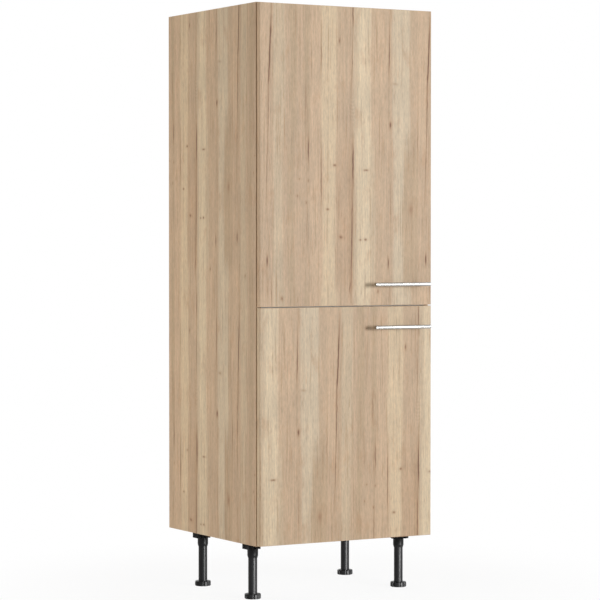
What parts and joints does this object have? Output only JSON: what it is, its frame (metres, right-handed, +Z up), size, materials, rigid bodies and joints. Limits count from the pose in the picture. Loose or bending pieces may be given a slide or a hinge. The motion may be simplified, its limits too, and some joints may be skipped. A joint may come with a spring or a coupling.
{
  "type": "mid-height kitchen cabinet",
  "caption": "Tall narrow kitchen cabinet with stacked side-hung doors, bar handles, inner shelves and adjustable legs, for storing kitchen goods.",
  "frame": {"origin": "on the floor, under the middle of the whole cabinet's box, handles included", "axes": "+Z up, -Y towards the doors' front, +X to the right of someone who faces the doors"},
  "size_m": [0.6, 0.619, 1.768],
  "materials": {
    "driftwood_decor": "matt embossed board decor",
    "white_melamine": "satin melamine",
    "white_hardboard": "white front, raw fibre rear",
    "beech": "fluted raw wood",
    "black_plastic": "moulded, slight sheen",
    "satin_steel": "satin",
    "plated_steel": "nickel plated",
    "clear_bumper": "clear soft dot"
  },
  "bodies": {
    "carcass": {"left_side_panel": "driftwood_decor", "right_side_panel": "driftwood_decor", "top_panel": "white_melamine", "bottom_panel": "white_melamine", "fixed_middle_shelf": "white_melamine", "upper_back_panel": "white_hardboard", "lower_back_panel": "white_hardboard", "back_panel_screws": "plated_steel", "lower_shelf": "white_melamine", "upper_shelf_low": "white_melamine", "upper_shelf_high": "white_melamine", "shelf_pins": "plated_steel", "cam_locks": "plated_steel", "cam_bolts": "plated_steel", "wooden_dowels": "beech", "wall_angles": "plated_steel", "wall_angle_screws": "plated_steel", "leg_socket_screws": "plated_steel", "leg_socket_front_left": "black_plastic", "leg_socket_front_right": "black_plastic", "leg_socket_rear_left": "black_plastic", "leg_socket_rear_right": "black_plastic", "leg_stem_front_left": "black_plastic", "leg_stem_front_right": "black_plastic", "leg_stem_rear_left": "black_plastic", "leg_stem_rear_right": "black_plastic", "upper_hinge_arms": "plated_steel", "upper_hinge_arm_pins": "plated_steel", "upper_hinge_plates": "plated_steel", "upper_hinge_screws": "plated_steel", "lower_hinge_arms": "plated_steel", "lower_hinge_arm_pins": "plated_steel", "lower_hinge_plates": "plated_steel", "lower_hinge_screws": "plated_steel"},
    "upper_inner_links": {"upper_hinge_inner_links": "plated_steel"},
    "upper_outer_links": {"upper_hinge_outer_links": "plated_steel"},
    "upper_door": {"upper_door": "driftwood_decor", "upper_handle_bar": "satin_steel", "upper_handle_posts": "satin_steel", "upper_handle_screws": "plated_steel", "upper_door_bumpers": "clear_bumper", "upper_hinge_cups": "plated_steel", "upper_hinge_cup_pins": "plated_steel", "upper_hinge_cup_screws": "plated_steel"},
    "lower_inner_links": {"lower_hinge_inner_links": "plated_steel"},
    "lower_outer_links": {"lower_hinge_outer_links": "plated_steel"},
    "lower_door": {"lower_door": "driftwood_decor", "lower_handle_bar": "satin_steel", "lower_handle_posts": "satin_steel", "lower_handle_screws": "plated_steel", "lower_door_bumpers": "clear_bumper", "lower_hinge_cups": "plated_steel", "lower_hinge_cup_pins": "plated_steel", "lower_hinge_cup_screws": "plated_steel"},
    "foot_front_left": {"foot_front_left": "black_plastic"},
    "foot_front_right": {"foot_front_right": "black_plastic"},
    "foot_rear_left": {"foot_rear_left": "black_plastic"},
    "foot_rear_right": {"foot_rear_right": "black_plastic"}
  },
  "joints": [
    {"name": "upper_inner_link_swing", "type": "hinge", "parent": "carcass", "child": "upper_inner_links", "pos_m": [-0.2602, -0.2355, 1.32], "axis": [0, 0, 1], "range_deg": [0, 29.2]},
    {"name": "upper_door_swing", "type": "hinge", "parent": "upper_inner_links", "child": "upper_door", "pos_m": [-0.2873, -0.2581, 1.32], "axis": [0, 0, -1], "range_deg": [0, 129], "stiffness_Nm_per_rad": 0.3, "springref_deg": -114.59},
    {"name": "upper_outer_link_swing", "type": "hinge", "parent": "carcass", "child": "upper_outer_links", "pos_m": [-0.2643, -0.25815, 1.32], "axis": [0, 0, 1], "range_deg": [0, 44.2]},
    {"name": "lower_inner_link_swing", "type": "hinge", "parent": "carcass", "child": "lower_inner_links", "pos_m": [-0.2602, -0.2355, 0.5205], "axis": [0, 0, 1], "range_deg": [0, 29.2]},
    {"name": "lower_door_swing", "type": "hinge", "parent": "lower_inner_links", "child": "lower_door", "pos_m": [-0.2873, -0.2581, 0.5205], "axis": [0, 0, -1], "range_deg": [0, 129], "stiffness_Nm_per_rad": 0.3, "springref_deg": -114.59},
    {"name": "lower_outer_link_swing", "type": "hinge", "parent": "carcass", "child": "lower_outer_links", "pos_m": [-0.2643, -0.25815, 0.5205], "axis": [0, 0, 1], "range_deg": [0, 44.2]},
    {"name": "foot_front_left_screw", "type": "slide", "parent": "carcass", "child": "foot_front_left", "axis": [0, 0, -1], "range_m": [0, 0.02]},
    {"name": "foot_front_right_screw", "type": "slide", "parent": "carcass", "child": "foot_front_right", "axis": [0, 0, -1], "range_m": [0, 0.02]},
    {"name": "foot_rear_left_screw", "type": "slide", "parent": "carcass", "child": "foot_rear_left", "axis": [0, 0, -1], "range_m": [0, 0.02]},
    {"name": "foot_rear_right_screw", "type": "slide", "parent": "carcass", "child": "foot_rear_right", "axis": [0, 0, -1], "range_m": [0, 0.02]}
  ],
  "couplings": [
    {"joint": "upper_inner_link_swing", "follows": "upper_door_swing", "ratio": 0.22481},
    {"joint": "upper_outer_link_swing", "follows": "upper_door_swing", "ratio": 0.34109},
    {"joint": "lower_inner_link_swing", "follows": "lower_door_swing", "ratio": 0.22481},
    {"joint": "lower_outer_link_swing", "follows": "lower_door_swing", "ratio": 0.34109}
  ]
}
